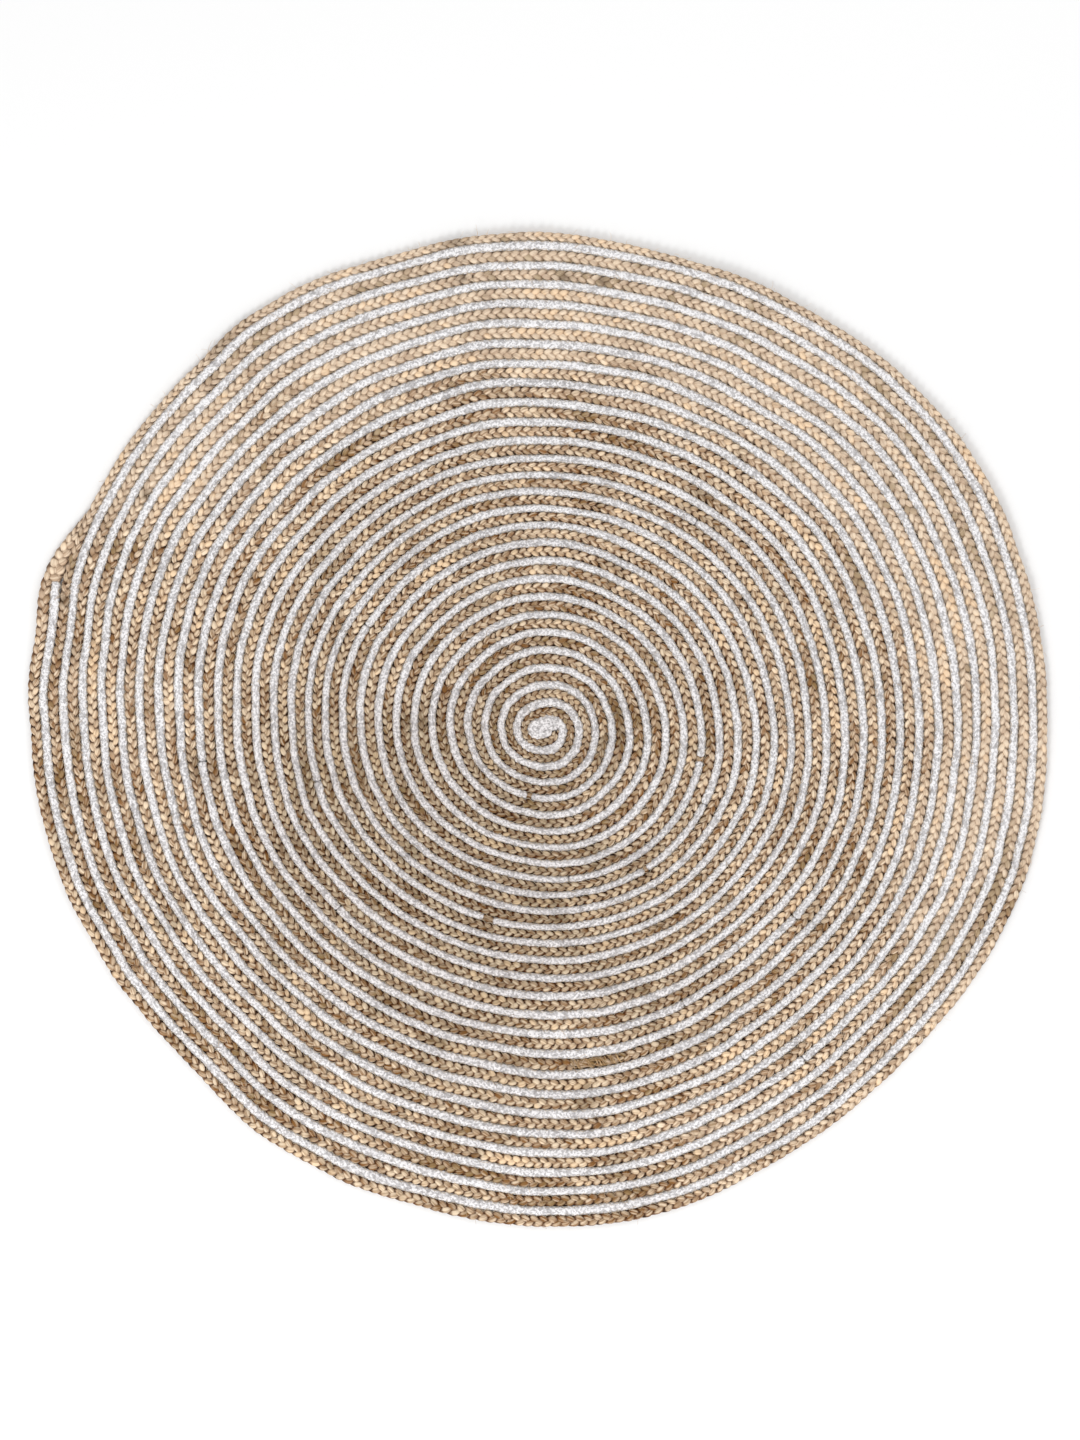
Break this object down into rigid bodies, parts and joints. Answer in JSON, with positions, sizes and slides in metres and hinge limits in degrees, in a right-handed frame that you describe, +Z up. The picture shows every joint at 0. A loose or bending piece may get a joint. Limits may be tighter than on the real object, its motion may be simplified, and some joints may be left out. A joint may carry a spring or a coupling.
{
  "type": "area rug",
  "caption": "Round flat area rug of a broad jute braid and a narrow off-white cotton braid laid side by side in one spiral and sewn edge to edge.",
  "frame": {"origin": "on the floor, under the middle of the rug's bounding box", "axes": "+Z up from the floor; +X to the right and +Y away as seen from above, with the loose end of the spiral near -X"},
  "size_m": [1.2124, 1.1854, 0.0095],
  "materials": {
    "jute_braid": "golden-tan jute yarn, plaited, matt with a faint sheen",
    "cotton_braid": "off-white cotton with grey flecks, fine braid, matt",
    "splice_yarn": "darker jute yarn wound round a splice, matt",
    "seam_thread": "undyed sewing thread, matt"
  },
  "bodies": {
    "root": {"white_braid_length_01": "cotton_braid", "white_braid_length_02": "cotton_braid", "white_braid_length_03": "cotton_braid", "white_braid_length_04": "cotton_braid", "white_braid_length_05": "cotton_braid", "white_braid_length_06": "cotton_braid", "white_braid_length_07": "cotton_braid", "white_braid_length_08": "cotton_braid", "white_braid_length_09": "cotton_braid", "white_braid_length_10": "cotton_braid", "white_braid_length_11": "cotton_braid", "white_braid_length_12": "cotton_braid", "white_braid_length_13": "cotton_braid", "white_braid_length_14": "cotton_braid", "white_braid_length_15": "cotton_braid", "white_braid_length_16": "cotton_braid", "white_braid_length_17": "cotton_braid", "jute_braid_length_01": "jute_braid", "jute_braid_length_02": "jute_braid", "jute_braid_length_03": "jute_braid", "jute_braid_length_04": "jute_braid", "jute_braid_length_05": "jute_braid", "jute_braid_length_06": "jute_braid", "jute_braid_length_07": "jute_braid", "jute_braid_length_08": "jute_braid", "jute_braid_length_09": "jute_braid", "jute_bound_splice": "splice_yarn", "seam_thread_outside_white": "seam_thread", "seam_thread_inside_white": "seam_thread"}
  },
  "joints": []
}
